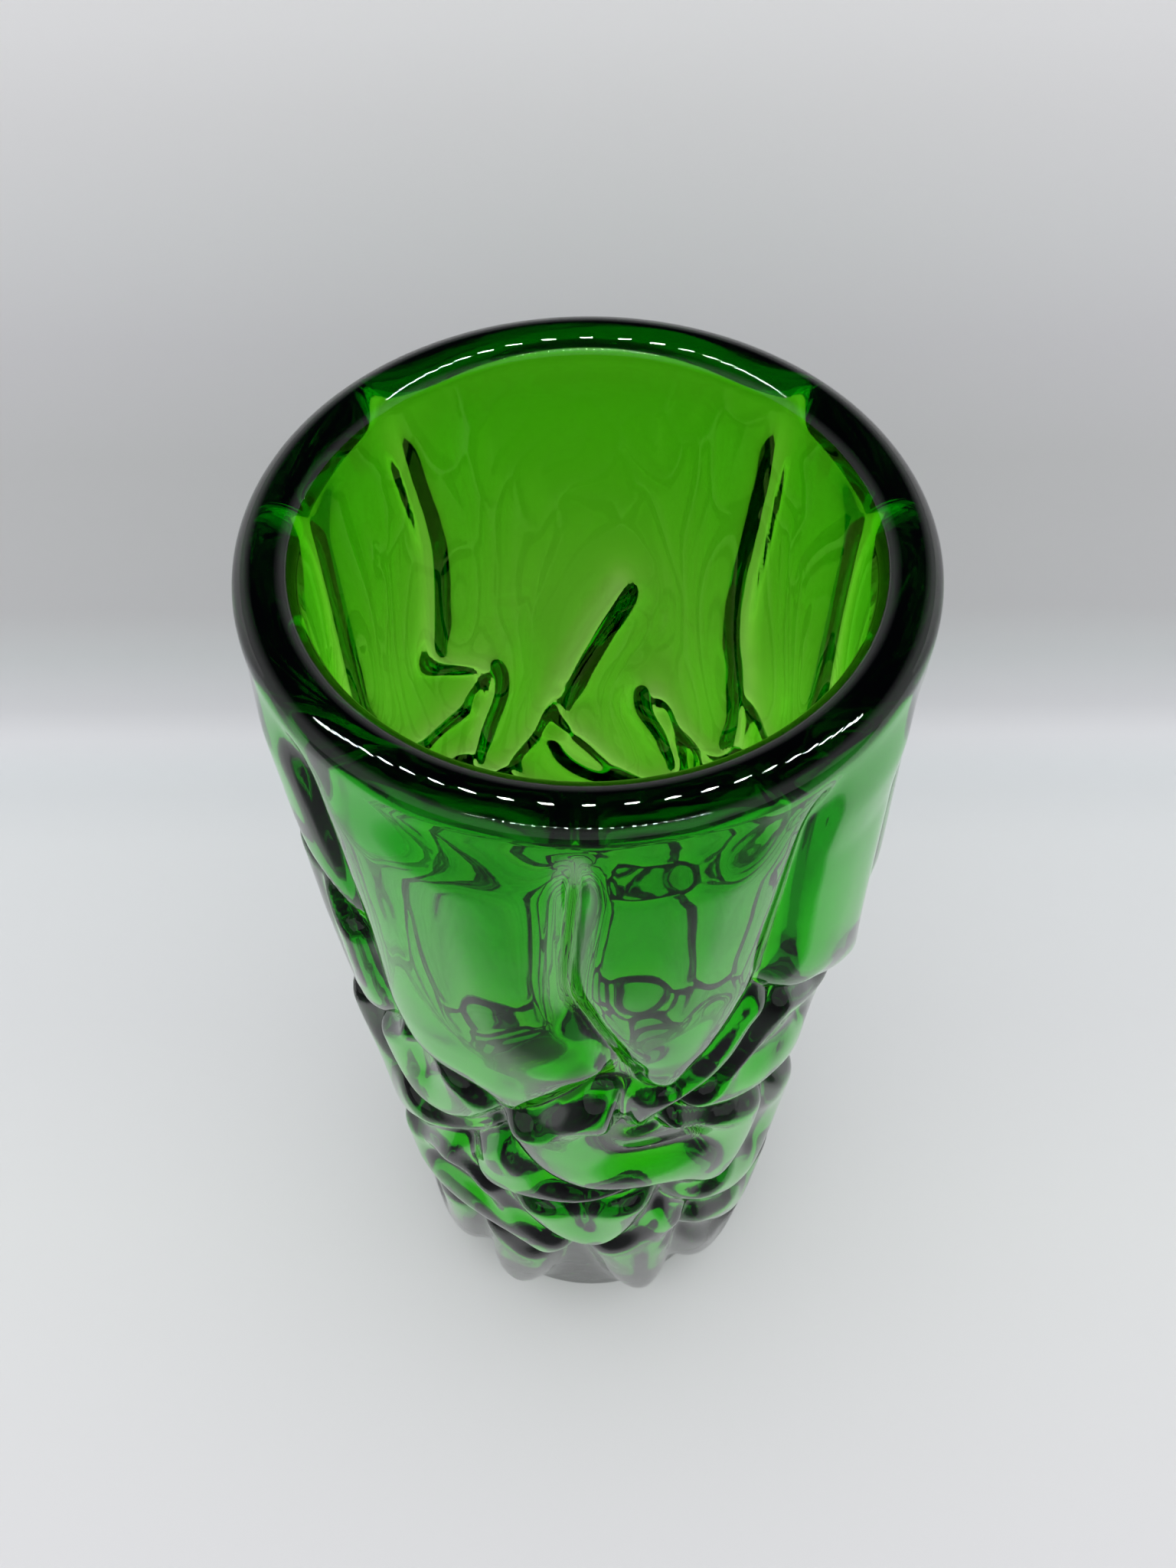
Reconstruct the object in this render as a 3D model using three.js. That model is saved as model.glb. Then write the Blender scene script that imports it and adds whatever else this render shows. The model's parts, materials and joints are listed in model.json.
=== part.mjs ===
// A tall vase of thick, clear green glass, blown into a mould. Under a round, fire-polished rim stand
// smooth upright panels with creases between them. Below the panels hang rows of round-edged folds,
// each fold lying over the next, down to a flat foot. The inside follows the outside softly.
// Millimetres, +Z up. The vase stands on z = 0, with its axis on the Z axis and its front towards -Y.

import * as THREE from "three";
import { mergeVertices } from "three/addons/utils/BufferGeometryUtils.js";

// Driving dimensions of the glass
const HEIGHT = 250;
const BORE_RADIUS = 34.8;
const RIM_THICKNESS = 7.7;
const FLOOR_THICKNESS = 18;
const BORE_CORNER = 16; // round corner between the bore and its floor
const FOOT_FLAT_RADIUS = 37; // the flat ring and disc that the vase stands on
const FOOT_ROUNDING = 4; // height of the round edge between the flat and the wall

// Thickness of the wall in the bottom of a crease, from the rim down to the foot
const WALL_UNDER_RIM = 4.6;
const WALL_AT_PANEL_ENDS = 5.6;
const WALL_AT_MIDDLE = 5;
const WALL_AT_LOW_FOLDS = 5;
const WALL_AT_FOOT = 4.6;

// How each kind of raised form swells out of the wall: rise is its height over the crease, flare what
// it gains with every millimetre further down, shoulder the width of the round edge that it climbs in,
// dish how far its middle sinks again, and slope the width of that inner slope.
const PANEL = { rise: 4.2, flare: 0.01, shoulder: 13, dish: 0, slope: 10 };
const SIDE_PANEL = { rise: 4.2, flare: 0.08, shoulder: 13, dish: 0, slope: 10 };
const HEM = { rise: 3.4, flare: 0, shoulder: 5, dish: 1.2, slope: 6 };
const HIGH_FOLD = { rise: 5.6, flare: 0, shoulder: 3, dish: 4.4, slope: 9 };
const MIDDLE_FOLD = { rise: 8, flare: 0, shoulder: 3, dish: 6.6, slope: 10 };
const LOW_FOLD = { rise: 9.4, flare: 0, shoulder: 3, dish: 7.4, slope: 10 };
const FOOT_FOLD = { rise: 8.2, flare: 0, shoulder: 4, dish: 5.4, slope: 9 };
const FLARE_START = 20; // drop below which a form starts to flare
const CREASE_SOFTNESS = 0.8; // width over which a form fades in over the form under it
const CREASE_WIDTH = 3; // width of the crease that runs along the outside of each form
const RIM_BLEND = 12; // length of wall under the rim in which the outer relief fades in
const BORE_BLEND = 60; // length of wall under the rim in which the inner relief fades in

// The relief is drawn on the unrolled wall: degrees round the vase, with -90 at the front, and
// millimetres of drop below the middle of the rim, on a wall that is DRAWN_DROP tall.
const DRAWN_DROP = 246;
const ABOVE_RIM = -14;

// Fineness of the mesh
const COLUMNS = 96;
const OUTER_ROWS = 44;
const FOOT_STEPS = 2;
const RIM_STEPS = 6;
const BORE_ROWS = 7;
const CORNER_STEPS = 4;
const CURVE_STEPS = 5; // steps in which an outline runs from one of its points to the next
const DROP_STEPS = 123; // steps down the wall at which the relief is worked out

// Columns and steps to each side over which the two faces even the relief out, since blown glass never
// quite fills the corners of its mould
const OUTER_REACH = { across: 1, down: 2 };
const INNER_REACH = { across: 3, down: 4 };

const rimTube = RIM_THICKNESS / 2;
const rimPlane = HEIGHT - rimTube;
const rimRadius = BORE_RADIUS + RIM_THICKNESS;
const unrolledRadius = BORE_RADIUS + WALL_AT_MIDDLE + MIDDLE_FOLD.rise;
const dropStep = DRAWN_DROP / DROP_STEPS;

// A plain hanging fold: a U about a middle angle, whose lowest point leans to one side
function hangingFold(middle, halfWidth, top, bottom, lean) {
  const tall = bottom - top;
  return [
    [middle - halfWidth, top + 0.1 * tall],
    [middle - halfWidth + 0.25 * lean, top + 0.5 * tall],
    [middle - 0.72 * halfWidth + 0.7 * lean, bottom - 0.15 * tall],
    [middle + lean, bottom],
    [middle + 0.72 * halfWidth + 0.7 * lean, bottom - 0.15 * tall],
    [middle + halfWidth + 0.25 * lean, top + 0.5 * tall],
    [middle + halfWidth, top + 0.1 * tall],
    [middle + 0.45 * halfWidth, top - 0.05 * tall],
    [middle - 0.45 * halfWidth, top - 0.05 * tall],
  ];
}

// Folds that stand on the foot, right round
function footFolds() {
  const left = [
    [-128, 166], [-130, 190], [-130, 212], [-127, 232], [-119, 240],
    [-110, 236], [-104, 218], [-101, 200], [-103, 184], [-114, 170],
  ];
  const middle = [
    [-106, 196], [-104, 218], [-99, 234], [-93, 234], [-89, 214], [-91, 192], [-98, 182],
  ];
  const round = [
    hangingFold(-37, 24, 176, 240, -3),
    hangingFold(10, 25, 170, 241, 3),
    hangingFold(57, 24, 174, 239, -3),
    hangingFold(104, 25, 170, 241, 2),
    hangingFold(151, 24, 174, 239, -2),
    hangingFold(204, 28, 170, 241, 3),
  ];
  return [left, middle, ...round].map((edge) => ({ form: FOOT_FOLD, edge }));
}

// Third row of folds from the top
function lowFolds() {
  const longLeft = [
    [-92, 164], [-94, 176], [-100, 184], [-107, 187], [-113, 178], [-120, 172],
    [-130, 174], [-139, 178], [-148, 184], [-156, 182], [-162, 168], [-160, 148],
    [-150, 134], [-136, 126], [-120, 124], [-108, 134], [-98, 150],
  ];
  const longRight = [
    [-56, 150], [-56, 170], [-58, 190], [-60, 212], [-64, 232], [-71, 240],
    [-79, 234], [-85, 216], [-89, 196], [-93, 174], [-88, 158], [-74, 146],
  ];
  const farRight = [
    [-64, 172], [-58, 186], [-50, 200], [-41, 212], [-31, 216],
    [-20, 208], [-12, 190], [-12, 168], [-24, 156], [-44, 158],
  ];
  const pebble = [
    [-113, 130], [-113, 143], [-109, 154], [-103, 163], [-95, 169], [-88, 171], [-81, 167],
    [-76, 158], [-73, 147], [-71, 134], [-78, 122], [-92, 118], [-105, 120],
  ];
  const round = [
    hangingFold(8, 20, 118, 204, -4),
    hangingFold(45, 22, 122, 212, 4),
    hangingFold(84, 20, 116, 202, -3),
    hangingFold(121, 21, 122, 210, 3),
    hangingFold(160, 21, 118, 204, -4),
  ];
  return [longLeft, longRight, farRight, ...round, pebble].map((edge) => ({
    form: LOW_FOLD,
    edge,
  }));
}

// Second row of folds, with the wide bowl at the front
function middleFolds() {
  const right = [
    [-70, 140], [-68, 150], [-60, 163], [-50, 174], [-39, 182], [-28, 182], [-18, 172],
    [-13, 154], [-16, 134], [-26, 116], [-40, 108], [-56, 116], [-66, 128],
  ];
  const crescent = [
    [-122, 124], [-124, 132], [-119, 138], [-110, 138], [-100, 137], [-90, 136], [-80, 134],
    [-72, 132], [-74, 118], [-90, 106], [-104, 98], [-114, 104], [-120, 114],
  ];
  const left = [
    [-112, 100], [-117, 110], [-123, 117], [-131, 126], [-140, 138], [-149, 148], [-158, 150],
    [-165, 140], [-168, 120], [-166, 98], [-158, 80], [-145, 80], [-125, 90],
  ];
  const bowl = [
    [-112, 84], [-111, 96], [-107, 110], [-102, 118], [-95, 124], [-86, 127], [-76, 129],
    [-70, 134], [-63, 144], [-56, 150], [-49, 148], [-43, 138], [-40, 122], [-42, 104],
    [-50, 90], [-66, 80], [-85, 74], [-102, 76],
  ];
  const round = [
    hangingFold(6, 19, 76, 160, 3),
    hangingFold(66, 20, 82, 168, -3),
    hangingFold(34, 19, 80, 150, 4),
    hangingFold(104, 20, 80, 158, 3),
    hangingFold(140, 19, 80, 166, -2),
    hangingFold(176, 19, 76, 156, 4),
  ];
  return [right, crescent, ...round, left, bowl].map((edge) => ({ form: MIDDLE_FOLD, edge }));
}

// First row of folds, which hangs out from under the panels
function highFolds() {
  const right = [
    [-76, 84], [-70, 90], [-61, 97], [-53, 101], [-44, 106], [-34, 114], [-24, 120], [-15, 118],
    [-10, 106], [-12, 90], [-22, 74], [-38, 62], [-50, 58], [-60, 66], [-68, 76],
  ];
  const left = [
    [-110, 86], [-113, 96], [-119, 105], [-126, 111], [-134, 115], [-141, 115],
    [-147, 108], [-150, 96], [-149, 80], [-142, 68], [-128, 66], [-116, 74],
  ];
  const behindRight = [
    [64, 82], [58, 89], [50, 93], [40, 96], [30, 94], [24, 82], [34, 66], [56, 66],
  ];
  const behind = [
    [104, 80], [100, 90], [92, 95], [84, 97], [77, 101], [72, 108],
    [64, 112], [58, 104], [60, 92], [66, 80], [80, 60], [98, 70],
  ];
  const behindLeft = [
    [108, 80], [114, 90], [122, 90], [132, 87], [142, 90], [152, 86],
    [156, 74], [150, 60], [130, 56], [112, 66],
  ];
  const round = [
    hangingFold(10, 20, 60, 118, -3),
    hangingFold(174, 19, 40, 100, -3),
    hangingFold(207, 17, 26, 88, 3),
  ];
  return [right, left, ...round, behindRight, behind, behindLeft].map((edge) => ({
    form: HIGH_FOLD,
    edge,
  }));
}

// The low hem that shows along the right front panel, ending in a short tongue
function frontHem() {
  const edge = [
    [-84, 60], [-82, 72], [-83, 82], [-82, 92], [-79.5, 98], [-76, 96], [-74, 90], [-68, 85],
    [-61, 80], [-56, 73], [-53, 64], [-49, 60], [-45, 57], [-47, 50], [-55, 44], [-66, 50],
  ];
  return [{ form: HEM, edge }];
}

// Upright panels under the rim. Each starts above the rim, so that only its sides and end show.
function panels() {
  const leftSide = [
    [165, ABOVE_RIM], [165, 35], [168, 50], [175, 60],
    [183, 62], [190, 56], [195, 44], [195, ABOVE_RIM],
  ];
  const farLeft = [
    [195, ABOVE_RIM], [195, 20], [198, 32], [205, 40],
    [213, 42], [219, 48], [222, 40], [222, ABOVE_RIM],
  ];
  const behindLeft = [
    [129.6, ABOVE_RIM], [129.6, 40], [128, 52], [119, 59], [120, 66], [126, 71],
    [134, 74], [145, 73], [155, 66], [162, 54], [165, 40], [165, ABOVE_RIM],
  ];
  const rightSide = [
    [-21, ABOVE_RIM], [-21, 45], [-19, 66], [-12, 80], [-3, 86],
    [6, 82], [12, 70], [15, 50], [15, ABOVE_RIM],
  ];
  const farRight = [
    [15, ABOVE_RIM], [15, 44], [17, 58], [23, 68], [31, 71],
    [38, 68], [45, 60], [50, 50], [51, 35], [51, ABOVE_RIM],
  ];
  const behind = [
    [51, ABOVE_RIM], [51, 45], [46, 60], [40, 69], [41, 75], [49, 79], [58, 79],
    [66, 76], [72, 68], [77, 58], [82, 50], [85, 43], [87, 45], [84, 54], [85, 62],
    [90, 70], [98, 79], [104, 79], [111, 72], [118, 64], [125, 61], [132, 56],
    [131, 45], [129.6, 30], [129.6, ABOVE_RIM],
  ];
  const frontFarRight = [
    [-55.5, ABOVE_RIM], [-55.5, 30], [-57, 46], [-53, 55], [-46, 60], [-38, 67],
    [-30, 74], [-23, 76], [-19, 68], [-21, 50], [-21, ABOVE_RIM],
  ];
  const frontRight = [
    [-95, ABOVE_RIM], [-95, 30], [-91.5, 44], [-87, 56], [-82, 66], [-79, 75],
    [-72, 78], [-66, 70], [-61, 60], [-57, 50], [-55.5, 40], [-55.5, ABOVE_RIM],
  ];
  const frontLeft = [
    [-138, ABOVE_RIM], [-138, 40], [-137.5, 62], [-134, 75], [-126, 80], [-117, 82],
    [-110, 89], [-104, 88], [-97, 80], [-90, 71], [-86, 66], [-87, 60],
    [-91, 50], [-95, 38], [-95, ABOVE_RIM],
  ];
  const plain = [leftSide, farLeft, behindLeft, farRight, behind, frontRight, frontLeft];
  return [
    ...[rightSide, frontFarRight].map((edge) => ({ form: SIDE_PANEL, edge })),
    ...plain.map((edge) => ({ form: PANEL, edge })),
  ];
}

// An outline as a closed smooth curve of points in millimetres on the unrolled wall, about its middle
function outlineOf({ form, edge }) {
  const middle = edge.reduce((sum, [angle]) => sum + angle, 0) / edge.length;
  const corners = edge.map(
    ([angle, drop]) =>
      new THREE.Vector3(THREE.MathUtils.degToRad(angle - middle) * unrolledRadius, drop, 0),
  );
  const curve = new THREE.CatmullRomCurve3(corners, true, "catmullrom", 0.5);
  const points = curve.getPoints(edge.length * CURVE_STEPS).slice(0, -1);
  const box = new THREE.Box3().setFromPoints(points).expandByScalar(CREASE_WIDTH);
  return { form, middle, points, box };
}

// Distance from a point to the nearest side of an outline, positive inside it
function depthInside({ points }, x, y) {
  let nearest = Infinity;
  let inside = false;
  points.forEach((a, i) => {
    const b = points[(i + 1) % points.length];
    const along = new THREE.Vector2(b.x - a.x, b.y - a.y);
    const to = new THREE.Vector2(x - a.x, y - a.y);
    const share = THREE.MathUtils.clamp(to.dot(along) / along.lengthSq(), 0, 1);
    nearest = Math.min(nearest, to.addScaledVector(along, -share).length());
    if (a.y > y !== b.y > y && x < a.x + ((y - a.y) * (b.x - a.x)) / (b.y - a.y)) inside = !inside;
  });
  return inside ? nearest : -nearest;
}

// Height of one form over the crease, at a depth inside its outline
function swell(form, depth, drop) {
  const rise = form.rise + form.flare * Math.max(drop - FLARE_START, 0);
  const climb = THREE.MathUtils.clamp(depth / form.shoulder, 0, 1);
  const sunk = THREE.MathUtils.smoothstep(depth - form.shoulder, 0, form.slope);
  return rise * Math.sqrt(1 - (1 - climb) ** 2) - form.dish * sunk;
}

const forms = [
  ...footFolds(),
  ...lowFolds(),
  ...middleFolds(),
  ...highFolds(),
  ...frontHem(),
  ...panels(),
].map(outlineOf);

// Height of the relief over the crease. Each form lies over the ones before it and cuts a crease into
// them along its edge.
function reliefAt(angle, drop) {
  let height = 0;
  for (const outline of forms) {
    const turned = THREE.MathUtils.euclideanModulo(angle - outline.middle + 180, 360) - 180;
    const x = THREE.MathUtils.degToRad(turned) * unrolledRadius;
    if (!outline.box.containsPoint(new THREE.Vector3(x, drop, 0))) continue;
    const depth = depthInside(outline, x, drop);
    const ground = height * THREE.MathUtils.smoothstep(-depth, 0, CREASE_WIDTH);
    const cover = THREE.MathUtils.smoothstep(depth, 0, CREASE_SOFTNESS);
    height = THREE.MathUtils.lerp(ground, swell(outline.form, depth, drop), cover);
  }
  return height;
}

// Angle of a column of the mesh round the vase, which starts at the front
function angleOf(column) {
  return (column * 360) / COLUMNS - 90;
}

// The relief of each column at even steps down the wall, taken as the mean of three places side by
// side, so that a narrow crease between two columns isn't lost
const reliefGrid = Array.from({ length: COLUMNS }, (_, column) =>
  Array.from({ length: DROP_STEPS + 1 }, (_, step) => {
    const places = [-1 / 3, 0, 1 / 3].map((share) =>
      reliefAt(angleOf(column + share), step * dropStep),
    );
    return places.reduce((sum, height) => sum + height, 0) / places.length;
  }),
);

// Mean of the relief round a place of the grid, in which nearer places weigh more
function evenedRelief(column, step, reach) {
  let sum = 0;
  let weights = 0;
  for (let across = -reach.across; across <= reach.across; across++) {
    for (let down = -reach.down; down <= reach.down; down++) {
      const beside = THREE.MathUtils.euclideanModulo(column + across, COLUMNS);
      const below = THREE.MathUtils.clamp(step + down, 0, DROP_STEPS);
      const weight = (reach.across + 1 - Math.abs(across)) * (reach.down + 1 - Math.abs(down));
      sum += weight * reliefGrid[beside][below];
      weights += weight;
    }
  }
  return sum / weights;
}

// Thickness of the wall in a crease at a drop: a smooth curve through the five named thicknesses
const wallCurve = new THREE.SplineCurve(
  [WALL_UNDER_RIM, WALL_AT_PANEL_ENDS, WALL_AT_MIDDLE, WALL_AT_LOW_FOLDS, WALL_AT_FOOT].map(
    (wall, i) => new THREE.Vector2(i, wall),
  ),
);

function creaseWall(drop) {
  return wallCurve.getPoint(THREE.MathUtils.clamp(drop / DRAWN_DROP, 0, 1)).y;
}

// Radius of the outside at a step of the grid: the plain round rim, then the relief under it
function outerRadius(column, step) {
  const drop = step * dropStep;
  const relief = BORE_RADIUS + creaseWall(drop) + evenedRelief(column, step, OUTER_REACH);
  return THREE.MathUtils.lerp(rimRadius, relief, THREE.MathUtils.smoothstep(drop, 0, RIM_BLEND));
}

// Radius of the inside at a height, where it follows the evened relief
function innerRadius(column, z) {
  const drop = ((rimPlane - z) * DRAWN_DROP) / rimPlane;
  const relief = evenedRelief(column, Math.round(drop / dropStep), INNER_REACH);
  return BORE_RADIUS + relief * THREE.MathUtils.smoothstep(drop, 0, BORE_BLEND);
}

// The outside of one column from the top of the foot rounding up to the rim. Its points stand at even
// distances along the curve itself, so that the undersides of the folds get points as well.
function outsideOf(column) {
  const curve = Array.from({ length: DROP_STEPS + 1 }, (_, step) => {
    const z = rimPlane * (1 - step / DROP_STEPS);
    return new THREE.Vector2(outerRadius(column, step), z);
  }).filter((point) => point.y > FOOT_ROUNDING);
  curve.push(new THREE.Vector2(outerRadius(column, DROP_STEPS), FOOT_ROUNDING));
  const path = new THREE.CurvePath();
  curve.slice(1).forEach((point, i) => path.add(new THREE.LineCurve(point, curve[i])));
  path.curves.reverse();
  return path.getSpacedPoints(OUTER_ROWS);
}

// One column of the body, from the middle of the foot up the outside, over the rim and down the bore
function sectionOf(column) {
  const outside = outsideOf(column);
  const section = [new THREE.Vector2(0, 0), new THREE.Vector2(FOOT_FLAT_RADIUS, 0)];
  for (let i = 1; i < FOOT_STEPS; i++) {
    const turn = (i / FOOT_STEPS) * (Math.PI / 2);
    const r = THREE.MathUtils.lerp(FOOT_FLAT_RADIUS, outside[0].x, Math.sin(turn));
    section.push(new THREE.Vector2(r, FOOT_ROUNDING * (1 - Math.cos(turn))));
  }
  section.push(...outside);
  for (let i = 1; i <= RIM_STEPS; i++) {
    const turn = (i / RIM_STEPS) * Math.PI;
    const r = rimRadius - rimTube * (1 - Math.cos(turn));
    section.push(new THREE.Vector2(r, rimPlane + rimTube * Math.sin(turn)));
  }
  const cornerTop = FLOOR_THICKNESS + BORE_CORNER;
  for (let i = 1; i <= BORE_ROWS; i++) {
    const z = THREE.MathUtils.lerp(rimPlane, cornerTop, i / BORE_ROWS);
    section.push(new THREE.Vector2(innerRadius(column, z), z));
  }
  for (let i = 1; i <= CORNER_STEPS; i++) {
    const turn = (i / CORNER_STEPS) * (Math.PI / 2);
    const z = cornerTop - BORE_CORNER * Math.sin(turn);
    const share = 1 - (BORE_CORNER / BORE_RADIUS) * (1 - Math.cos(turn));
    section.push(new THREE.Vector2(innerRadius(column, z) * share, z));
  }
  section.push(new THREE.Vector2(0, FLOOR_THICKNESS));
  return section;
}

// The first column turned right round, and each of its copies then given the shape of its own column
function vaseBody() {
  const sections = Array.from({ length: COLUMNS }, (_, column) => sectionOf(column));
  const turned = new THREE.LatheGeometry(sections[0], COLUMNS);
  turned.deleteAttribute("normal");
  turned.deleteAttribute("uv");
  const place = turned.getAttribute("position");
  for (let i = 0; i < place.count; i++) {
    const row = i % sections[0].length;
    const column = Math.floor(i / sections[0].length) % COLUMNS;
    const angle = THREE.MathUtils.degToRad(angleOf(column));
    const { x: radius, y: z } = sections[column][row];
    place.setXYZ(i, radius * Math.cos(angle), radius * Math.sin(angle), z);
  }
  const glass = new THREE.MeshStandardMaterial({
    color: 0x1f8a1a,
    roughness: 0.03,
    metalness: 0,
    transparent: true,
    opacity: 0.55,
  });
  const body = new THREE.Mesh(mergeVertices(turned, 1e-3), glass);
  body.name = "vase_body";
  return body;
}

const vase = new THREE.Group();
vase.name = "glass_vase";
vase.add(vaseBody());

export default vase;
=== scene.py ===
# %% [markdown]
# # A tall green glass vase
# The real vase is one piece of thick glass, blown into a mould. Its outside carries two kinds of
# relief: smooth upright panels under the rim, and below them rows of hanging folds with round edges,
# each lying over the next. Its inside is a round bore that follows the large forms softly. A clear
# thing like this is all about the shape of its two surfaces, so most of this lesson makes that shape.

# %% The frame
import math

import bmesh
import bpy
import numpy as np
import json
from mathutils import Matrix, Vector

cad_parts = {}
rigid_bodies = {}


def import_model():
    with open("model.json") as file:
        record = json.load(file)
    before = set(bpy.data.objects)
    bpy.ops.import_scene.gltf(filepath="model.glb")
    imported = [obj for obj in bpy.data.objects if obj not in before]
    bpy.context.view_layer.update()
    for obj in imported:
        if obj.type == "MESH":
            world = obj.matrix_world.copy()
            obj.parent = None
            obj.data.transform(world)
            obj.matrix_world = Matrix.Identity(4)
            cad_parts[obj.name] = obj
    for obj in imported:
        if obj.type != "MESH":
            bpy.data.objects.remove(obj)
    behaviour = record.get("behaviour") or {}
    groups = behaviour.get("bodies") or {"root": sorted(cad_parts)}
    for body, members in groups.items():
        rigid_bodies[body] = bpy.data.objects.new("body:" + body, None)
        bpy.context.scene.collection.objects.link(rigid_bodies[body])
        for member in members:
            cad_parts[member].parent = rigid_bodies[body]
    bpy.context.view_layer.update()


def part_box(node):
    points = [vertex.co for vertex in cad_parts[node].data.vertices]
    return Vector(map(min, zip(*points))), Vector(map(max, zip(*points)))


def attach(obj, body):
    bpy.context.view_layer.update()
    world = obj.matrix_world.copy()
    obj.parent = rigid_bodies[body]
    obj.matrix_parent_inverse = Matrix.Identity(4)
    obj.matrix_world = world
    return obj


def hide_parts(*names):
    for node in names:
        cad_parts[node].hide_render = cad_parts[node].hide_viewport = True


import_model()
foot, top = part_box("vase_body")
MM = 0.001
HEIGHT = (top.z - foot.z) / MM
print(f"the vase is {HEIGHT:.1f} mm tall")

# %% [markdown]
# ## Colours
# Colours are written in hex, the way a screen shows them, and Blender shades in linear light. They
# could be typed as linear numbers, but those are hard to read, so one function turns one into the
# other.

# %% From screen colours to linear light
def rgba(hex_colour):
    levels = [int(hex_colour[i:i + 2], 16) / 255 for i in (1, 3, 5)]
    light = [v / 12.92 if v <= 0.04045 else ((v + 0.055) / 1.055) ** 2.4 for v in levels]
    return (*light, 1.0)


WHITE = rgba("#ffffff")
print("white is", WHITE)

# %% [markdown]
# ## Nodes
# A material is a small tree of nodes. One function adds a node with its settings and links, because
# a finish is then read as a short list of nodes, and not as a screenful of calls.

# %% Adding nodes
def add_node(tree, kind, links=None, **settings):
    """Adds a node. Inputs are set or linked by name or number, and other settings are its properties."""
    node = tree.nodes.new(kind)
    for name, value in settings.items():
        setattr(node, name, value)
    for name, value in (links or {}).items():
        if isinstance(value, bpy.types.NodeSocket):
            tree.links.new(value, node.inputs[name])
        else:
            node.inputs[name].default_value = value
    return node


def new_material(name):
    material = bpy.data.materials.new(name)
    material.use_nodes = True
    material.node_tree.nodes.clear()
    print("material", material.name)
    return material


# %% [markdown]
# ## Sizes
# The bore, the floor and the rim are turned shapes, so a few radii and heights say all about them.
# The rim is a round bead, as thick as the wall that was cut there and melted smooth in the fire.

# %% Sizes of the glass, in millimetres
BORE_RADIUS = 34.8
RIM_THICKNESS = 7.7
FLOOR_THICKNESS = 18
BORE_CORNER = 16
FOOT_FLAT_RADIUS = 37
FOOT_ROUNDING = 4
rim_tube = RIM_THICKNESS / 2
rim_plane = HEIGHT - rim_tube
rim_radius = BORE_RADIUS + RIM_THICKNESS
print(f"the bead of the rim is {2 * rim_radius:.1f} mm across and sits {rim_plane:.1f} mm up")

# %% [markdown]
# ## The wall
# The wall is given where it is thinnest, in the bottom of a crease, at five places from the rim down
# to the foot. Every raised form stands on that. The drawing of the relief measures down from the rim,
# and starts a little above it, so that the panels run out under the bead.

# %% The wall in the creases, in millimetres
DRAWN_DROP = 246  # drop of the foot in the drawing
ABOVE_RIM = -14  # where the panels of the drawing start
WALLS = [4.6, 5.6, 5, 5, 4.6]
WALL_DROPS = np.linspace(0, DRAWN_DROP, len(WALLS))
print("wall in the creases, by drop:", dict(zip(WALL_DROPS.tolist(), WALLS)))

# %% [markdown]
# ## Kinds of form
# Every raised form is a roll: it climbs out of its crease in a quarter round, and a fold then sinks
# again to a dished middle. Five numbers say how: the rise over the crease, what the rise gains with
# each millimetre of drop, the width of the quarter round, the sink of the middle and the width of the
# slope down to it. The folds at the sides are lower, so that they hardly break the silhouette.

# %% Rise, flare, shoulder, dish and slope of each kind
PANEL = (4.2, 0.01, 13, 0, 10)
SIDE_PANEL = (4.2, 0.08, 13, 0, 10)
HEM = (3.4, 0, 5, 1.2, 6)
HIGH_FOLD = (4.5, 0, 6, 3, 7)
MIDDLE_FOLD = (6, 0, 8, 4, 9)
LOW_FOLD = (6.5, 0, 8, 4, 9)
FOOT_FOLD = (6, 0, 9, 2.5, 9)
SIDE_FOLD = (4.4, 0, 7, 3, 8)
unrolled_radius = BORE_RADIUS + WALLS[2] + MIDDLE_FOLD[0]
print(f"the wall is unrolled at the middle folds, {unrolled_radius:.1f} mm from the axis")

# %% [markdown]
# ## The drawing of the relief
# A mould maker would draw the relief on the unrolled wall and carve it. This does the same: each
# raised form is an outline of a few points, in degrees round the vase, with -90 at the front, and in
# millimetres of drop below the rim. The list runs from the foot upwards, because each form lies over
# those before it. Most folds at the sides and behind are a plain tongue, made by one function.

# %% A plain hanging fold
# round the tongue: share of the half width, share of the height, share of the lean
TONGUE = [
    (-1, 0.1, 0), (-1, 0.5, 0.25), (-0.72, 0.85, 0.7), (0, 1, 1), (0.72, 0.85, 0.7), (1, 0.5, 0.25),
    (1, 0.1, 0), (0.45, -0.05, 0), (-0.45, -0.05, 0),
]


def hanging_fold(middle, half_width, top, bottom, lean):
    return [[middle + across * half_width + sway * lean, top + down * (bottom - top)]
            for across, down, sway in TONGUE]


print("tip of a fold that leans 2 degrees:", hanging_fold(0, 20, 100, 180, 2)[3])

# %% [markdown]
# ## The foot
# The lowest row hangs down to the table. Two wide lobes stand in front, with bare foot between them,
# and six plain ones go on round the back.

# %% Foot folds
forms = [
    (FOOT_FOLD, [
        [-128, 166], [-130, 190], [-130, 212], [-127, 232], [-119, 240], [-110, 236], [-104, 218],
        [-101, 200], [-103, 184], [-114, 170],
    ]),
    (FOOT_FOLD, [
        [-56, 150], [-56, 170], [-58, 190], [-60, 212], [-64, 232], [-71, 240], [-79, 234], [-85, 216],
        [-89, 196], [-93, 174], [-88, 158], [-74, 146],
    ]),
    (FOOT_FOLD, hanging_fold(-37, 24, 176, 240, -3)),
    (FOOT_FOLD, hanging_fold(10, 25, 170, 241, 3)),
    (FOOT_FOLD, hanging_fold(57, 24, 174, 239, -3)),
    (FOOT_FOLD, hanging_fold(104, 25, 170, 241, 2)),
    (FOOT_FOLD, hanging_fold(151, 24, 174, 239, -2)),
    (FOOT_FOLD, hanging_fold(204, 28, 170, 241, 3)),
]
print(f"{len(forms)} forms with the foot")

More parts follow.
